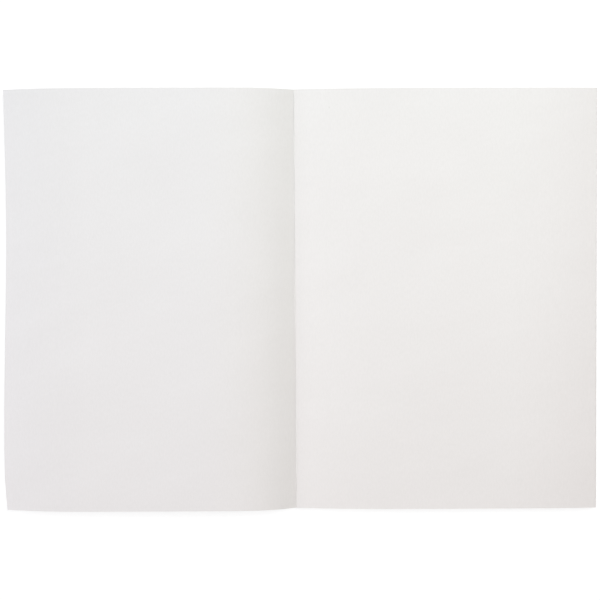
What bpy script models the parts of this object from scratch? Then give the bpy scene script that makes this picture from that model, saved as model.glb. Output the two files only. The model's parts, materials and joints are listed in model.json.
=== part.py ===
"""Undated planner, lying open a little before its middle.

An A5 booklet of folded sheets in a card cover, wire-stitched through the fold and trimmed flush.
Metres, +Z up. The fold runs along Y. The origin is under the fold, at the middle of the page
height, on the surface that the planner lies on.

Every leaf turns about one line: the fold axis, which is level with the middle of the closed
booklet. A leaf at some depth below that line on one side lies as far above it on the other side.
"""

import math

import bmesh
import bpy

# Sheets and cover
PAGE_WIDTH = 0.1485  # cover panel, from the fold to the fore-edge: half of a sheet 297 mm long
PAGE_HEIGHT = 0.210
PAPER = 0.00012  # thickness of a leaf
CARD = 0.00040  # thickness of the cover
SHEETS = 16  # each is folded once, and gives two leaves
LEFT_LEAVES = 14  # leaves that lie to the left of the open spread
TRIM_CREEP = 0.00075  # how much narrower the innermost leaf is than the cover
LEAF_GAP = 0.00004  # air between two leaves, and between a leaf and the cover
PANEL_GAP = 0.00010  # between the cover's spine strip and each panel

# Wire stitches
WIRE_WIDTH = 0.00050  # across the fold
WIRE_THICK = 0.00030  # the flat wire's other side
WIRE_CLEARANCE = 0.00015  # from the wire to the leaves and to the spine strip
STITCH_CROWN = 0.0120  # outside length of the part that lies along the spine
STITCH_SPACING = 0.1050  # between the middles of the two stitches
CLINCH = 0.0044  # length of each bent-over end
CLINCH_COVER = 0.00003  # how far the clinched ends lie below the fold axis
BEND_RADIUS = 0.00045  # at the middle of the wire
BEND_STEPS = 4

# Worked out from the sizes above
LEAVES = 2 * SHEETS
PITCH = PAPER + LEAF_GAP
CLOSED_THICKNESS = 2 * CARD + LEAVES * PITCH + LEAF_GAP
AXIS_Z = CLOSED_THICKNESS / 2
WIRE_ROOM = WIRE_WIDTH / 2 + WIRE_CLEARANCE  # half the space that the wire keeps at the fold
SPINE_HALF = CLOSED_THICKNESS / 2  # the spine strip wraps the closed booklet's back

# Finishes: colour, roughness, metallic
PAPER_FINISH = ((0.86, 0.85, 0.83), 0.85, 0.0)
CARD_FINISH = ((0.80, 0.79, 0.76), 0.70, 0.0)
STEEL_FINISH = ((0.62, 0.63, 0.65), 0.30, 1.0)


def clear_scene():
    for obj in list(bpy.data.objects):
        bpy.data.objects.remove(obj, do_unlink=True)


def new_material(name, finish):
    colour, roughness, metallic = finish
    material = bpy.data.materials.new(name)
    material.use_nodes = True
    shader = material.node_tree.nodes["Principled BSDF"]
    shader.inputs["Base Color"].default_value = (*colour, 1.0)
    shader.inputs["Roughness"].default_value = roughness
    shader.inputs["Metallic"].default_value = metallic
    return material


def fold_axis_empty():
    """The line that every leaf and the front cover turn about."""
    axis = bpy.data.objects.new("fold_axis", None)
    axis.location = (0.0, 0.0, AXIS_Z)
    bpy.context.scene.collection.objects.link(axis)
    return axis


def add_node(name, bm, finish, parent=None):
    """One named object. A piece with a parent has its points measured from the fold axis."""
    if parent:
        bmesh.ops.translate(bm, verts=bm.verts, vec=(0.0, 0.0, -AXIS_Z))
    bmesh.ops.recalc_face_normals(bm, faces=bm.faces)
    mesh = bpy.data.meshes.new(name)
    bm.to_mesh(mesh)
    bm.free()
    mesh.materials.append(new_material(name, finish))
    obj = bpy.data.objects.new(name, mesh)
    obj.parent = parent
    bpy.context.scene.collection.objects.link(obj)
    return obj


def block(x_low, x_high, y_half, z_low, z_high):
    """A rectangular plate, centred on the page height."""
    bm = bmesh.new()
    bmesh.ops.create_cube(bm, size=1.0)
    size = (x_high - x_low, 2 * y_half, z_high - z_low)
    middle = ((x_low + x_high) / 2, 0.0, (z_low + z_high) / 2)
    bmesh.ops.scale(bm, verts=bm.verts, vec=size)
    bmesh.ops.translate(bm, verts=bm.verts, vec=middle)
    return bm


def fold_edge(z_low, z_high):
    """Where the flat of a leaf starts: past the wire, and past its bend, as wide as it is deep."""
    return WIRE_ROOM + max(abs(AXIS_Z - z_low), abs(AXIS_Z - z_high))


def make_leaf(number, axis):
    """Leaf 1 is next to the front cover. The left stack counts up from it, the right one down."""
    on_left = number <= LEFT_LEAVES
    from_other_end = LEAVES + 1 - number
    layer = number if on_left else from_other_end
    sheet = min(number, from_other_end)
    width = PAGE_WIDTH - TRIM_CREEP * sheet / SHEETS
    z_low = CARD + LEAF_GAP + (layer - 1) * PITCH
    z_high = z_low + PAPER
    inner = fold_edge(z_low, z_high)
    edges = (-width, -inner) if on_left else (inner, width)
    bm = block(*edges, PAGE_HEIGHT / 2, z_low, z_high)
    add_node(f"leaf_{number:02d}", bm, PAPER_FINISH, axis)


def make_cover_panels(axis):
    inner = SPINE_HALF + PANEL_GAP
    front = block(-PAGE_WIDTH, -inner, PAGE_HEIGHT / 2, 0.0, CARD)
    add_node("front_cover", front, CARD_FINISH, axis)
    back = block(inner, PAGE_WIDTH, PAGE_HEIGHT / 2, 0.0, CARD)
    add_node("back_cover", back, CARD_FINISH)


def stitch_slot(name, y):
    """A cutter for the slot that a stitch's crown is pressed into, flush with the spine."""
    length = STITCH_CROWN + 2 * WIRE_CLEARANCE
    bm = block(-WIRE_ROOM, WIRE_ROOM, length / 2, -CARD, 2 * CARD)
    cutter = add_node(name, bm, CARD_FINISH)
    cutter.location.y = y
    cutter.hide_render = True
    cutter.display_type = "WIRE"
    return cutter


def make_cover_spine():
    bm = block(-SPINE_HALF, SPINE_HALF, PAGE_HEIGHT / 2, 0.0, CARD)
    spine = add_node("cover_spine", bm, CARD_FINISH)
    for name, y in stitch_places():
        slot = spine.modifiers.new(f"slot_{name}", "BOOLEAN")
        slot.operation = "DIFFERENCE"
        slot.solver = "EXACT"
        slot.object = stitch_slot(f"cutter_{name}", y)


def stitch_places():
    return (("stitch_head", STITCH_SPACING / 2), ("stitch_tail", -STITCH_SPACING / 2))


def rounded_bend(corner, before, after):
    """Points and directions, in (y, z), round a right-angled bend between two unit directions."""
    made = []
    for step in range(BEND_STEPS + 1):
        turn = math.pi / 2 * step / BEND_STEPS
        back = BEND_RADIUS * (1 - math.sin(turn))
        on = BEND_RADIUS * (1 - math.cos(turn))
        point = tuple(c - b * back + a * on for c, b, a in zip(corner, before, after))
        heading = tuple(
            b * math.cos(turn) + a * math.sin(turn) for b, a in zip(before, after)
        )
        made.append((point, heading))
    return made


def stitch_path():
    """The wire's middle line in (y, z): one clinched end, leg, crown, leg, other clinched end."""
    leg = (STITCH_CROWN - WIRE_THICK) / 2
    low = CARD / 2
    high = AXIS_Z - CLINCH_COVER - WIRE_THICK / 2
    out, down, along, up = (-1, 0), (0, -1), (1, 0), (0, 1)
    path = [((CLINCH - leg, high), out)]
    path += rounded_bend((-leg, high), out, down)
    path += rounded_bend((-leg, low), down, along)
    path += rounded_bend((leg, low), along, up)
    path += rounded_bend((leg, high), up, out)
    path.append(((leg - CLINCH, high), out))
    return path


def make_stitch(name, y):
    """Flat wire swept along its path, four corners at each point."""
    bm = bmesh.new()
    rings = []
    for (along, height), (heading_y, heading_z) in stitch_path():
        ring = []
        for across, side in ((-1, -1), (1, -1), (1, 1), (-1, 1)):
            offset = side * WIRE_THICK / 2
            ring.append(
                bm.verts.new(
                    (
                        across * WIRE_WIDTH / 2,
                        y + along - heading_z * offset,
                        height + heading_y * offset,
                    )
                )
            )
        rings.append(ring)
    for first, second in zip(rings, rings[1:]):
        for i in range(4):
            j = (i + 1) % 4
            bm.faces.new((first[i], first[j], second[j], second[i]))
    bm.faces.new(rings[0])
    bm.faces.new(reversed(rings[-1]))
    stitch = add_node(name, bm, STEEL_FINISH)
    stitch.data.shade_smooth()
    stitch.data.set_sharp_from_angle(angle=math.radians(40))


def main():
    clear_scene()
    axis = fold_axis_empty()
    make_cover_panels(axis)
    make_cover_spine()
    for name, y in stitch_places():
        make_stitch(name, y)
    for number in range(1, LEAVES + 1):
        make_leaf(number, axis)


main()
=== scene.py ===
import json
import math
from collections import namedtuple
from functools import reduce

import bmesh
import bpy
import numpy as np
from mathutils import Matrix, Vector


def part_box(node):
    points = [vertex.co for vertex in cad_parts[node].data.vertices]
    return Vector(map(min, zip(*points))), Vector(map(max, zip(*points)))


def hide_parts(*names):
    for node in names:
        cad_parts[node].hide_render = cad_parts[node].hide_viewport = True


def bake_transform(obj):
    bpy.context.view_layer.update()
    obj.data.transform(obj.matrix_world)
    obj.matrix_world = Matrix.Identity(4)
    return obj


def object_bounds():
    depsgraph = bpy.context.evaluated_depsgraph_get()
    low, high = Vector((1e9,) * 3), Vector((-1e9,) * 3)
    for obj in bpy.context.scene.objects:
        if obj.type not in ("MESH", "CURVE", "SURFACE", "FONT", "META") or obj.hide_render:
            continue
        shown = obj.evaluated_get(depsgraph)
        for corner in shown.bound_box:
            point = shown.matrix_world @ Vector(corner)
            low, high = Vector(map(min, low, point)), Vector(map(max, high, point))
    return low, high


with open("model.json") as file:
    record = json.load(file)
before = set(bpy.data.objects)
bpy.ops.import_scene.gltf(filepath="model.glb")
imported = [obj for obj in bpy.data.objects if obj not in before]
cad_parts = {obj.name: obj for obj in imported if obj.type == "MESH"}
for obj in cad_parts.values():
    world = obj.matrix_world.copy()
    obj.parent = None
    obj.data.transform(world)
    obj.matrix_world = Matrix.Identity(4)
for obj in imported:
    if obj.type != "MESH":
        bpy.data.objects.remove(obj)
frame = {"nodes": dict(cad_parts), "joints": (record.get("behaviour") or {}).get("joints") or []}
cad_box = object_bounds()

# Looks of an undated planner that lies open a little before its middle. Metres, +Z up, fold along Y.
# Across the fold, "out" is the distance from the fold axis towards a fore-edge, on either side.
# Along the fold, "v" runs from -1 at the tail edge to 1 at the head edge.

# From the frame
FRONT = "front_cover"
STITCHES = ("stitch_head", "stitch_tail")
AXIS_Z = frame["joints"][0]["pos_m"][2]
HALF_HEIGHT = cad_box[1].y
COVER_REACH = cad_box[1].x
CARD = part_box("back_cover")[1].z  # thickness of the cover, which lies on the table
LEAVES = sorted(name for name in frame["nodes"] if name.startswith("leaf_"))
HIGHEST = max(LEAVES, key=lambda name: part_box(name)[1].z)
FOLD_RADIUS = sum(corner.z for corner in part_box(HIGHEST)) / 2 - AXIS_Z  # outermost closed sheet

# How the open pages bow: a rise from the gutter, a slope along the page, a fall to the fore-edge
Bow = namedtuple("Bow", "rise reach power slope fall fall_from fall_power")
LEFT_BOW = Bow(
    rise=0.00600, reach=0.0115, power=1.15, slope=0.0, fall=0.00414, fall_from=0.097, fall_power=2.75
)
RIGHT_BOW = Bow(
    rise=0.00335, reach=0.025, power=1.2, slope=0.010, fall=0.00059, fall_from=0.123, fall_power=2.0
)
SHARE_POWER = 0.7  # how fast the bow grows from the cover up to the top leaf
LEFT_CLUMP = 4  # leaves that cling together, counted from the top of a stack
RIGHT_CLUMP = 6
CLUMP_STEP = 0.3  # how far apart they are, as a share of an even spread
SHARE_JITTER = 0.006
LEAN = 0.05  # a raised page lies this share of its raise nearer to the tail

# The folds of the sheets that are closed lie over the left page, and make the gutter line
GUTTER = 0.00195  # from the fold axis to that line
GUTTER_SKEW = 0.00035  # how much further it is at the head, and nearer at the tail
SEAM = 0.0012  # where the flexible fold of an opened sheet joins its leaf

# Fore-edges, outwards from where the frame has them
LEFT_EXTRA = 0.00005
LEFT_SKEW = 0.00033  # this much more at the head, and less at the tail
LEFT_WAVE = 0.00090  # half the depth of a slow wave along the edge
LEFT_WAVE_FROM = -0.72  # in v, where the wave starts
LEFT_WAVE_LENGTH = 2.15  # in v
LEFT_CURL = 0.00130  # at the tail corner
LEFT_CURL_LENGTH = 0.09  # in v
RIGHT_EXTRA = 0.00055
RIGHT_SKEW = 0.00071
RIGHT_PEEK = 0.00035  # how far the leaves under the right page show past it
FRONT_SHORT = 0.0009  # the front cover stays hidden under the left page
EDGE_POWER = 8  # these changes of width stay near the fore-edge
TRIM_JITTER = 0.00025  # for the leaves under the two pages that show

# How the sheets bend when they turn: the middle of a leaf trails behind its fore-edge
TURN_END = 0.135  # beyond this distance from the fold, a leaf turns with its body
TURN_SPAN = 0.58  # the length over which a leaf with the full bow takes up its turn
LEFT_TRAIL = 0.15  # how much less a left leaf trails where it has less bow
COVER_SHARE = 0.14  # the front cover trails as a left leaf with this share of the bow would
COVER_SEAM = 0.0010  # where the cover's front panel meets the part that wraps the spine

# Cover and wire
RIDGE = 0.00008  # the cover's fold stands off the table, over the stitches' crowns
RIDGE_WIDTH = 0.0025
WIRE_HALF_WIDTH = 0.00025  # across the fold
WIRE_HALF_THICK = 0.00015
WIRE_LOW = 0.00017  # height of the crown's middle line
WIRE_CROWN = 0.0120
WIRE_CLINCH = 0.0044
WIRE_BEND = 0.00045

# Mesh detail
LEAF_STEPS = 56
TOP_ROWS = 61
LOW_ROWS = 15
FOLD_STEPS = 10
FRONT_STEPS = (40, 8)
BACK_STEPS = (28, 8, 24)
ROUND_STEPS = 12
BEND_STEPS = 6
SHARP = math.radians(40)  # edges that turn more than this are not smoothed

# Forms of the materials' detail
Noise = namedtuple("Noise", "scale detail stretch turn", defaults=((1.0, 1.0, 1.0), 0.0))
Specks = namedtuple("Specks", "scale size colour")
Relief = namedtuple("Relief", "distance strength")
NOISE_RANGE = (0.3, 0.7)  # where most of a noise lies
PLAIN = (1.0, 1.0, 1.0)

# Paper
PAPER_RIPPLE = Noise(60.0, 2.0, stretch=(2.6, 1.0, 1.0), turn=math.radians(14))  # long and low
PAPER_FIBRE = Noise(1400.0, 3.0, stretch=(1.0, 2.8, 1.0))
# the paper's tone follows the ripple noise: random tone, and painted shade of the ripples
PAPER_TONES_RIPPLE_SHADE = ((0.862, 0.834, 0.832), (0.874, 0.847, 0.846))
PAPER_GRAIN = ((0.975, 0.975, 0.973), PLAIN)
PAPER_SPECKS = Specks(24.0, 0.012, (0.93, 0.925, 0.915))
PAPER_ROUGH = (0.82, 0.72)
PAPER_GLOSS = 0.3
PAPER_COCKLE = Relief(0.0004, 0.25)
PAPER_TOOTH = Relief(0.00003, 0.35)
PAINTED_SHADE_SPAN = (0.105, 0.150)  # out, where the painted shade towards a page's fore-edge starts and where it is full
# painted shade at the left and right fore-edges
LEFT_PAINTED_SHADE = (0.928, 0.928, 0.928)
RIGHT_PAINTED_SHADE = (0.966, 0.956, 0.956)
PAINTED_WARM_FROM = (-0.050, -0.020)  # in X, where the painted warm light of the right page starts and where it is full
PAINTED_WARM_LIGHT = (1.0, 0.995, 0.984)
# painted warm light towards the tail: the paper is painted less red towards the head
PAINTED_LIGHT_HEAD_TINT = (0.974, 1.0, 1.0)

# Card
CARD_MOTTLE = Noise(90.0, 5.0)
CARD_FIBRE = Noise(700.0, 4.0, stretch=(2.0, 1.0, 1.0))
CARD_TONES = ((0.685, 0.67, 0.635), (0.705, 0.69, 0.655))
CARD_GRAIN = ((0.93, 0.93, 0.925), PLAIN)
CARD_FLECKS = Specks(160.0, 0.05, (0.80, 0.77, 0.72))
CARD_ROUGH = (0.72, 0.58)
CARD_GLOSS = 0.35
CARD_TOOTH = Relief(0.00006, 0.5)

# Steel wire
WIRE_DRAWN = Noise(9000.0, 2.0, stretch=(1.0, 20.0, 1.0))
WIRE_TONES = ((0.34, 0.35, 0.37), (0.50, 0.51, 0.53))
WIRE_ROUGH = (0.38, 0.24)
WIRE_TOOTH = Relief(0.00002, 0.3)

# Camera, straight above the gutter
CAMERA_HEIGHT = 0.4217  # above the fold axis
CAMERA_AT = (0.00045, -0.00070)
CAMERA_ROLL = math.radians(-0.20)
LENS = 50.4
SENSOR = 36.0
CLIP_START = 0.01

# Floor and light
FLOOR_SIZE = 6.0
FLOOR_PALE = (0.9, 0.9, 0.9, 1.0)
FLOOR_DIM = (0.28, 0.28, 0.28, 1.0)  # takes the shadow that the camera sees
FLOOR_GLOW = 0.80
FLOOR_FADE = (0.25, 0.60)  # from the planner, where the floor goes over to plain white
WHITE = (1.0, 1.0, 1.0, 1.0)
WORLD_LEVEL = 0.25
Lamp = namedtuple("Lamp", "name place size power colour")
LAMPS = (
    Lamp("overhead", (0.0, 0.0, 0.7), (0.4, 0.4), 0.45, (1.0, 0.98, 0.97)),
    Lamp("head_right", (0.3, 0.35, 0.7), (0.4, 0.4), 3.75, (0.99, 1.0, 0.975)),
    Lamp("left", (-1.2, 0.0, 0.45), (0.5, 0.5), 9.75, (0.92, 0.935, 1.0)),
    Lamp("tail", (-0.25, -1.3, 0.12), (0.6, 0.16), 5.1, (1.0, 0.90, 0.83)),
    Lamp("right", (1.3, -0.1, 0.30), (0.6, 0.6), 2.0, (1.0, 0.98, 0.96)),
)

SEED = 7
random = np.random.default_rng(SEED)


# Meshes


def add_piece(name, bm, material):
    bmesh.ops.recalc_face_normals(bm, faces=bm.faces)
    mesh = bpy.data.meshes.new(name)
    bm.to_mesh(mesh)
    bm.free()
    mesh.shade_smooth()
    mesh.set_sharp_from_angle(angle=SHARP)
    mesh.materials.append(material)
    piece = bpy.data.objects.new(name, mesh)
    bpy.context.scene.collection.objects.link(piece)
    return piece


def sheet(lines, ys, thickness):
    """A closed thin sheet. lines holds rows of points (x, z) of its middle, and ys their places in Y."""
    along = np.gradient(lines, axis=1)
    along /= np.linalg.norm(along, axis=2, keepdims=True)
    offset = np.stack([-along[..., 1], along[..., 0]], axis=2) * thickness / 2
    rows, steps = lines.shape[:2]
    bm = bmesh.new()
    sides = []
    for points in (lines + offset, lines - offset):
        places = np.stack([points[..., 0], ys, points[..., 1]], axis=2)
        sides.append([[bm.verts.new(place) for place in row] for row in places])
    for side in sides:
        for j in range(rows - 1):
            for i in range(steps - 1):
                corners = side[j][i], side[j][i + 1], side[j + 1][i + 1], side[j + 1][i]
                bm.faces.new(corners)
    rim = [(0, i) for i in range(steps - 1)]
    rim += [(j, steps - 1) for j in range(rows - 1)]
    rim += [(rows - 1, i) for i in range(steps - 1, 0, -1)]
    rim += [(j, 0) for j in range(rows - 1, 0, -1)]
    over, under = sides
    for (j, i), (k, n) in zip(rim, rim[1:] + rim[:1]):
        bm.faces.new((over[j][i], over[k][n], under[k][n], under[j][i]))
    return bm


def even_sheet(line, thickness):
    """A closed thin sheet with the same middle line from tail to head."""
    lines = np.tile(line, (LOW_ROWS, 1, 1))
    ys = rows_of(LOW_ROWS) * HALF_HEIGHT
    return sheet(lines, np.tile(ys[:, None], len(line)), thickness)


def rows_of(count):
    return np.linspace(-1.0, 1.0, count)


# Leaves

Leaf = namedtuple("Leaf", "name side z thickness reach share closed top")


def read_leaf(name, stack):
    """A leaf as the frame has it, with its share of its stack's bow."""
    low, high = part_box(name)
    side = -1 if high.x < 0 else 1
    z = (low.z + high.z) / 2
    reach = max(-low.x, high.x)
    depth = len(stack) - 1 - stack.index(name)
    top = depth == 0
    size = LEFT_CLUMP if side < 0 else RIGHT_CLUMP
    clump, inside = divmod(depth, size)
    spread = clump * size + inside * CLUMP_STEP
    share = (1 - spread / len(stack)) ** SHARE_POWER
    if not top:
        share += random.uniform(-SHARE_JITTER, SHARE_JITTER)
    # A sheet is closed where the other leaf of it, as far past the fold axis, is in this stack too
    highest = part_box(stack[-1])[1].z
    closed = side > 0 and 2 * AXIS_Z - z < highest
    return Leaf(name, side, z, high.z - low.z, reach, share, closed, top)


def read_leaves():
    heights = {name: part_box(name)[0].z for name in LEAVES}
    left = [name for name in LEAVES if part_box(name)[1].x < 0]
    right = [name for name in LEAVES if name not in left]
    stacks = [sorted(stack, key=heights.get) for stack in (left, right)]
    return [read_leaf(name, stack) for stack in stacks for name in stack]


def gutter(v):
    return GUTTER + GUTTER_SKEW * v


def bow_height(bow, out, bow_from, reach):
    """Height of the top page above its flat place, for a leaf that ends at the given reach."""
    away = np.maximum(out - bow_from, 0.0)
    rise = bow.rise * (1 - np.exp(-((away / bow.reach) ** bow.power)))
    past = np.maximum(out - bow.fall_from, 0.0) / (reach - bow.fall_from)
    return rise - bow.slope * out - bow.fall * past**bow.fall_power


def fore_edge_change(leaf, v):
    """How far the fore-edge is from its straight line, outwards."""
    if leaf.side > 0:
        peek = 0.0 if leaf.top else RIGHT_PEEK
        return RIGHT_EXTRA + RIGHT_SKEW * v + peek
    wave = 1 - math.cos(2 * math.pi * (v - LEFT_WAVE_FROM) / LEFT_WAVE_LENGTH)
    curl = math.exp(-(v + 1) / LEFT_CURL_LENGTH)
    return LEFT_EXTRA + LEFT_SKEW * v - LEFT_WAVE * wave - LEFT_CURL * curl


def leaf_start(leaf, v):
    """Where the leaf starts, and where its bow does."""
    if leaf.side < 0:
        return SEAM, gutter(v)
    if leaf.closed:
        return FOLD_RADIUS - gutter(v), -gutter(v)
    return SEAM, SEAM


def leaf_line(leaf, v, trim):
    """The middle line of a leaf across the fold, as points (x, z)."""
    start, bow_from = leaf_start(leaf, v)
    share = 0.5 - 0.5 * np.cos(np.linspace(0, math.pi, LEAF_STEPS))
    out = start + (leaf.reach + trim - start) * share
    out += fore_edge_change(leaf, v) * share**EDGE_POWER
    bow = LEFT_BOW if leaf.side < 0 else RIGHT_BOW
    z = leaf.z + leaf.share * bow_height(bow, out, bow_from, leaf.reach)
    line = np.stack([leaf.side * out, z], axis=1)
    if leaf.closed and leaf.z > AXIS_Z:
        line = np.concatenate([closed_fold(leaf, start), line[1:]])
    return line


def closed_fold(leaf, start):
    """The half-round fold that joins a leaf to the other leaf of its sheet, below it."""
    radius = leaf.z - AXIS_Z
    turn = np.linspace(-math.pi / 2, math.pi / 2, ROUND_STEPS)
    return np.stack([start - radius * np.cos(turn), AXIS_Z + radius * np.sin(turn)], axis=1)


def turn_span(side, share):
    """The length over which a leaf takes up its turn. A left leaf with less bow trails less."""
    return TURN_SPAN / share**LEFT_TRAIL if side < 0 else TURN_SPAN


def make_leaf(leaf, material):
    trim = 0.0 if leaf.top else random.uniform(-TRIM_JITTER, TRIM_JITTER)
    vs = rows_of(TOP_ROWS if leaf.top else LOW_ROWS)
    lines = np.array([leaf_line(leaf, v, trim) for v in vs])
    raised = lines[..., 1] - leaf.z
    bm = sheet(lines, vs[:, None] * HALF_HEIGHT - LEAN * raised, leaf.thickness)
    piece = add_piece(f"{leaf.name}_page", bm, material)
    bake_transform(piece)
    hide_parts(leaf.name)


def make_fold(leaf, material):
    """The strip of an opened sheet from the fold axis to the leaf."""
    out = np.linspace(0.0, SEAM, FOLD_STEPS)
    line = np.stack([leaf.side * out, np.full(FOLD_STEPS, leaf.z)], axis=1)
    bm = even_sheet(line, leaf.thickness)
    piece = add_piece(f"{leaf.name}_fold", bm, material)
    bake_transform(piece)


# Cover and stitches


def card_strip(name, edges, counts, material):
    """The part of the cover between two places across the fold."""
    parts = [
        np.linspace(a, b, n, endpoint=False) for a, b, n in zip(edges, edges[1:], counts)
    ]
    x = np.append(np.concatenate(parts), edges[-1])
    z = CARD / 2 + RIDGE * np.exp(-((x / RIDGE_WIDTH) ** 2))
    bm = even_sheet(np.stack([x, z], axis=1), CARD)
    return add_piece(name, bm, material)


def make_cover(material):
    """One card in two strips: its front panel, and the rest, which takes in the spine and the back."""
    front_span = turn_span(-1, COVER_SHARE)
    front_edges = (FRONT_SHORT - COVER_REACH, -2 * RIDGE_WIDTH, -COVER_SEAM)
    front = card_strip("front_cover_card", front_edges, FRONT_STEPS, material)
    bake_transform(front)
    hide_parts(FRONT)
    at_seam = 1 - (TURN_END - COVER_SEAM) / front_span
    band = COVER_SEAM / (2 * at_seam - 1)
    back_edges = (-COVER_SEAM, band, 2 * RIDGE_WIDTH, COVER_REACH)
    back = card_strip("back_cover_card", back_edges, BACK_STEPS, material)
    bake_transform(back)
    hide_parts("cover_spine", "back_cover")


def stitch_path(high):
    """The wire's middle line, as (y, z) points: clinched end, leg, crown, leg, clinched end."""
    leg = WIRE_CROWN / 2
    tip = leg - WIRE_CLINCH
    corners = [(-tip, high), (-leg, high), (-leg, WIRE_LOW)]
    corners += [(-y, z) for y, z in reversed(corners)]
    corners = np.array(corners)
    path = [corners[0]]
    for before, corner, after in zip(corners, corners[1:], corners[2:]):
        back = (before - corner) / np.linalg.norm(before - corner) * WIRE_BEND
        on = (after - corner) / np.linalg.norm(after - corner) * WIRE_BEND
        for turn in np.linspace(0, math.pi / 2, BEND_STEPS):
            path.append(corner + back * (1 - math.sin(turn)) + on * (1 - math.cos(turn)))
    path.append(corners[-1])
    return np.array(path)


def make_stitch(name, material):
    """A wire of flattened round section, swept along its path."""
    low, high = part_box(name)
    middle = (low.y + high.y) / 2
    path = stitch_path(high.z - WIRE_HALF_THICK)
    along = np.gradient(path, axis=0)
    along /= np.linalg.norm(along, axis=1, keepdims=True)
    bm = bmesh.new()
    rings = []
    for (y, z), (dy, dz) in zip(path, along):
        ring = []
        for turn in np.linspace(0, 2 * math.pi, ROUND_STEPS, endpoint=False):
            side = WIRE_HALF_THICK * math.sin(turn)
            across = WIRE_HALF_WIDTH * math.cos(turn)
            ring.append(bm.verts.new((across, middle + y - dz * side, z + dy * side)))
        rings.append(ring)
    for first, second in zip(rings, rings[1:]):
        for i in range(ROUND_STEPS):
            j = (i + 1) % ROUND_STEPS
            bm.faces.new((first[i], first[j], second[j], second[i]))
    bm.faces.new(rings[0])
    bm.faces.new(reversed(rings[-1]))
    piece = add_piece(f"{name}_wire", bm, material)
    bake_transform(piece)
    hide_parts(name)


# Materials


def new_material(name):
    material = bpy.data.materials.new(name)
    material.use_nodes = True
    tree = material.node_tree
    return material, tree, tree.nodes["Principled BSDF"]


def noise(tree, look):
    """A noise over the object: features in a metre, how long they are along X, Y and Z, and their turn."""
    place = tree.nodes.new("ShaderNodeTexCoord")
    mapping = tree.nodes.new("ShaderNodeMapping")
    mapping.vector_type = "TEXTURE"
    mapping.inputs["Rotation"].default_value = (0.0, 0.0, look.turn)
    mapping.inputs["Scale"].default_value = look.stretch
    texture = tree.nodes.new("ShaderNodeTexNoise")
    texture.inputs["Scale"].default_value = look.scale
    texture.inputs["Detail"].default_value = look.detail
    tree.links.new(place.outputs["Object"], mapping.inputs["Vector"])
    tree.links.new(mapping.outputs["Vector"], texture.inputs["Vector"])
    return texture.outputs["Fac"]


def ramp(tree, factor, colours, between=NOISE_RANGE):
    """Goes from the first colour to the second as the factor goes from one place to the other."""
    node = tree.nodes.new("ShaderNodeValToRGB")
    for stop, place, colour in zip(node.color_ramp.elements, between, colours):
        stop.position = place
        stop.color = (*colour, 1.0)
    tree.links.new(factor, node.inputs["Fac"])
    return node.outputs["Color"]


def greys(levels):
    return [(level, level, level) for level in levels]


def multiply(tree, colours):
    def pair(first, second):
        node = tree.nodes.new("ShaderNodeMix")
        node.data_type = "RGBA"
        node.blend_type = "MULTIPLY"
        node.inputs["Factor"].default_value = 1.0
        tree.links.new(first, node.inputs["A"])
        tree.links.new(second, node.inputs["B"])
        return node.outputs["Result"]

    return reduce(pair, colours)


def bump(tree, height, relief, before=None):
    node = tree.nodes.new("ShaderNodeBump")
    node.inputs["Distance"].default_value = relief.distance
    node.inputs["Strength"].default_value = relief.strength
    tree.links.new(height, node.inputs["Height"])
    if before:
        tree.links.new(before, node.inputs["Normal"])
    return node.outputs["Normal"]


def specks(tree, look):
    """Small darker fibres and specks, scattered over the surface."""
    place = tree.nodes.new("ShaderNodeTexCoord")
    cells = tree.nodes.new("ShaderNodeTexVoronoi")
    cells.inputs["Scale"].default_value = look.scale
    tree.links.new(place.outputs["Object"], cells.inputs["Vector"])
    return ramp(tree, cells.outputs["Distance"], (look.colour, PLAIN), (look.size / 2, look.size))


def page_share(tree, axis, near, far):
    """From 0 to 1 between two places along an axis of the object."""
    place = tree.nodes.new("ShaderNodeTexCoord")
    parts = tree.nodes.new("ShaderNodeSeparateXYZ")
    share = tree.nodes.new("ShaderNodeMapRange")
    share.inputs["From Min"].default_value = near
    share.inputs["From Max"].default_value = far
    tree.links.new(place.outputs["Object"], parts.inputs["Vector"])
    tree.links.new(parts.outputs[axis], share.inputs["Value"])
    return share.outputs["Result"]


def painted_light_tints(tree):
    """Painted light and shade on the paper: painted shade at the fore-edges, and painted warm light to the
    right of the fold and towards the tail.
    """
    near, far = PAINTED_SHADE_SPAN
    tints = (
        # painted shade at the fore-edges
        ("X", -near, -far, LEFT_PAINTED_SHADE),
        ("X", near, far, RIGHT_PAINTED_SHADE),
        # painted warm light on the right of the fold
        ("X", *PAINTED_WARM_FROM, PAINTED_WARM_LIGHT),
        # painted warm light, growing from head to tail
        ("Y", -HALF_HEIGHT, HALF_HEIGHT, PAINTED_LIGHT_HEAD_TINT),
    )
    return [
        ramp(tree, page_share(tree, axis, start, end), (PLAIN, tint), (0.0, 1.0))
        for axis, start, end, tint in tints
    ]


def dress(tree, shader, colour, rough, normal):
    tree.links.new(colour, shader.inputs["Base Color"])
    tree.links.new(rough, shader.inputs["Roughness"])
    tree.links.new(normal, shader.inputs["Normal"])


def paper_material():
    material, tree, shader = new_material("page_paper")
    ripple = noise(tree, PAPER_RIPPLE)
    fibre = noise(tree, PAPER_FIBRE)
    # random paper tone with painted shade of the ripples
    tone = ramp(tree, ripple, PAPER_TONES_RIPPLE_SHADE)
    grain = ramp(tree, fibre, PAPER_GRAIN)
    colour = multiply(tree, (tone, grain, specks(tree, PAPER_SPECKS), *painted_light_tints(tree)))
    cockle = bump(tree, ripple, PAPER_COCKLE)
    tooth = bump(tree, fibre, PAPER_TOOTH, cockle)
    dress(tree, shader, colour, ramp(tree, fibre, greys(PAPER_ROUGH)), tooth)
    shader.inputs["Specular IOR Level"].default_value = PAPER_GLOSS
    return material


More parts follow.
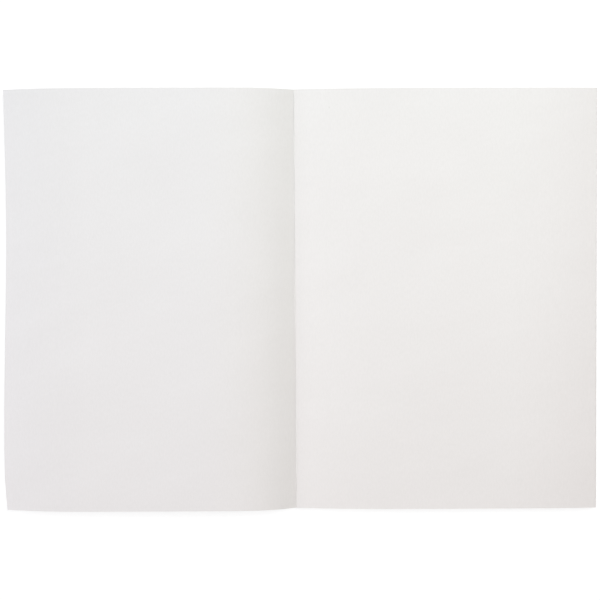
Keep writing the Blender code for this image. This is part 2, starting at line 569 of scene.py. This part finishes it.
def card_material():
    material, tree, shader = new_material("cover_card")
    fibre = noise(tree, CARD_FIBRE)
    tone = ramp(tree, noise(tree, CARD_MOTTLE), CARD_TONES)
    grain = ramp(tree, fibre, CARD_GRAIN)
    colour = multiply(tree, (tone, grain, specks(tree, CARD_FLECKS)))
    tooth = bump(tree, fibre, CARD_TOOTH)
    dress(tree, shader, colour, ramp(tree, fibre, greys(CARD_ROUGH)), tooth)
    shader.inputs["Specular IOR Level"].default_value = CARD_GLOSS
    return material


def wire_material():
    material, tree, shader = new_material("stitch_wire")
    drawn = noise(tree, WIRE_DRAWN)
    tone = ramp(tree, drawn, WIRE_TONES)
    tooth = bump(tree, drawn, WIRE_TOOTH)
    dress(tree, shader, tone, ramp(tree, drawn, greys(WIRE_ROUGH)), tooth)
    shader.inputs["Metallic"].default_value = 1.0
    return material


# Stage


def plain_shader(tree, kind, **values):
    node = tree.nodes.new(kind)
    for name, value in values.items():
        node.inputs[name].default_value = value
    return node.outputs[0]


def mix_shaders(tree, share, first, second):
    node = tree.nodes.new("ShaderNodeMixShader")
    for source, socket in zip((share, first, second), node.inputs):
        tree.links.new(source, socket)
    return node.outputs["Shader"]


def seen_directly(tree):
    """1 for the camera's own rays, and for those that metal or glass sends on."""
    path = tree.nodes.new("ShaderNodeLightPath")
    total = path.outputs["Is Camera Ray"]
    for name in ("Is Glossy Ray", "Is Transmission Ray"):
        add = tree.nodes.new("ShaderNodeMath")
        add.operation = "ADD"
        add.use_clamp = True
        tree.links.new(total, add.inputs[0])
        tree.links.new(path.outputs[name], add.inputs[1])
        total = add.outputs["Value"]
    return total


def far_away(tree):
    """0 by the planner and 1 far out on the floor."""
    place = tree.nodes.new("ShaderNodeTexCoord")
    length = tree.nodes.new("ShaderNodeVectorMath")
    length.operation = "LENGTH"
    share = tree.nodes.new("ShaderNodeMapRange")
    share.interpolation_type = "SMOOTHSTEP"
    share.inputs["From Min"].default_value = FLOOR_FADE[0]
    share.inputs["From Max"].default_value = FLOOR_FADE[1]
    tree.links.new(place.outputs["Object"], length.inputs[0])
    tree.links.new(length.outputs["Value"], share.inputs["Value"])
    return share.outputs["Result"]


def floor_material():
    """White to the camera, with the shadows of a matte pale floor."""
    material, tree, shader = new_material("floor")
    tree.nodes.remove(shader)
    pale = plain_shader(tree, "ShaderNodeBsdfDiffuse", Color=FLOOR_PALE)
    dim = plain_shader(tree, "ShaderNodeBsdfDiffuse", Color=FLOOR_DIM)
    glow = plain_shader(tree, "ShaderNodeEmission", Strength=FLOOR_GLOW)
    near = tree.nodes.new("ShaderNodeAddShader")
    tree.links.new(dim, near.inputs[0])
    tree.links.new(glow, near.inputs[1])
    far = plain_shader(tree, "ShaderNodeEmission", Color=WHITE)
    seen = mix_shaders(tree, far_away(tree), near.outputs["Shader"], far)
    shown = mix_shaders(tree, seen_directly(tree), pale, seen)
    tree.links.new(shown, tree.nodes["Material Output"].inputs["Surface"])
    return material


def make_floor():
    bm = bmesh.new()
    bmesh.ops.create_grid(bm, x_segments=1, y_segments=1, size=FLOOR_SIZE / 2)
    mesh = bpy.data.meshes.new("floor")
    bm.to_mesh(mesh)
    bm.free()
    mesh.materials.append(floor_material())
    floor = bpy.data.objects.new("floor", mesh)
    bpy.context.scene.collection.objects.link(floor)


def make_world():
    """White to the camera, and a soft light all round."""
    world = bpy.data.worlds.new("studio")
    world.use_nodes = True
    tree = world.node_tree
    soft = plain_shader(tree, "ShaderNodeBackground", Color=WHITE, Strength=WORLD_LEVEL)
    white = plain_shader(tree, "ShaderNodeBackground", Color=WHITE)
    shown = mix_shaders(tree, seen_directly(tree), soft, white)
    tree.links.new(shown, tree.nodes["World Output"].inputs["Surface"])
    bpy.context.scene.world = world


def make_lamp(lamp):
    """A soft lamp that points at the planner."""
    light = bpy.data.lights.new(lamp.name, "AREA")
    light.shape = "RECTANGLE"
    light.size, light.size_y = lamp.size
    light.energy = lamp.power
    light.color = lamp.colour
    obj = bpy.data.objects.new(lamp.name, light)
    obj.location = lamp.place
    obj.rotation_euler = (-obj.location).to_track_quat("-Z", "Y").to_euler()
    bpy.context.scene.collection.objects.link(obj)


def make_camera():
    camera = bpy.data.cameras.new("camera")
    camera.lens = LENS
    camera.sensor_width = SENSOR
    camera.clip_start = CLIP_START
    obj = bpy.data.objects.new("camera", camera)
    obj.location = (*CAMERA_AT, AXIS_Z + CAMERA_HEIGHT)
    obj.rotation_euler = (0.0, 0.0, CAMERA_ROLL)
    bpy.context.scene.collection.objects.link(obj)
    bpy.context.scene.camera = obj


def main():
    paper = paper_material()
    card = card_material()
    wire = wire_material()
    for leaf in read_leaves():
        make_leaf(leaf, paper)
        if not leaf.closed:
            make_fold(leaf, paper)
    make_cover(card)
    for name in STITCHES:
        make_stitch(name, wire)
    make_floor()
    make_world()
    for lamp in LAMPS:
        make_lamp(lamp)
    make_camera()
    bpy.context.scene.view_settings.view_transform = "Standard"


main()
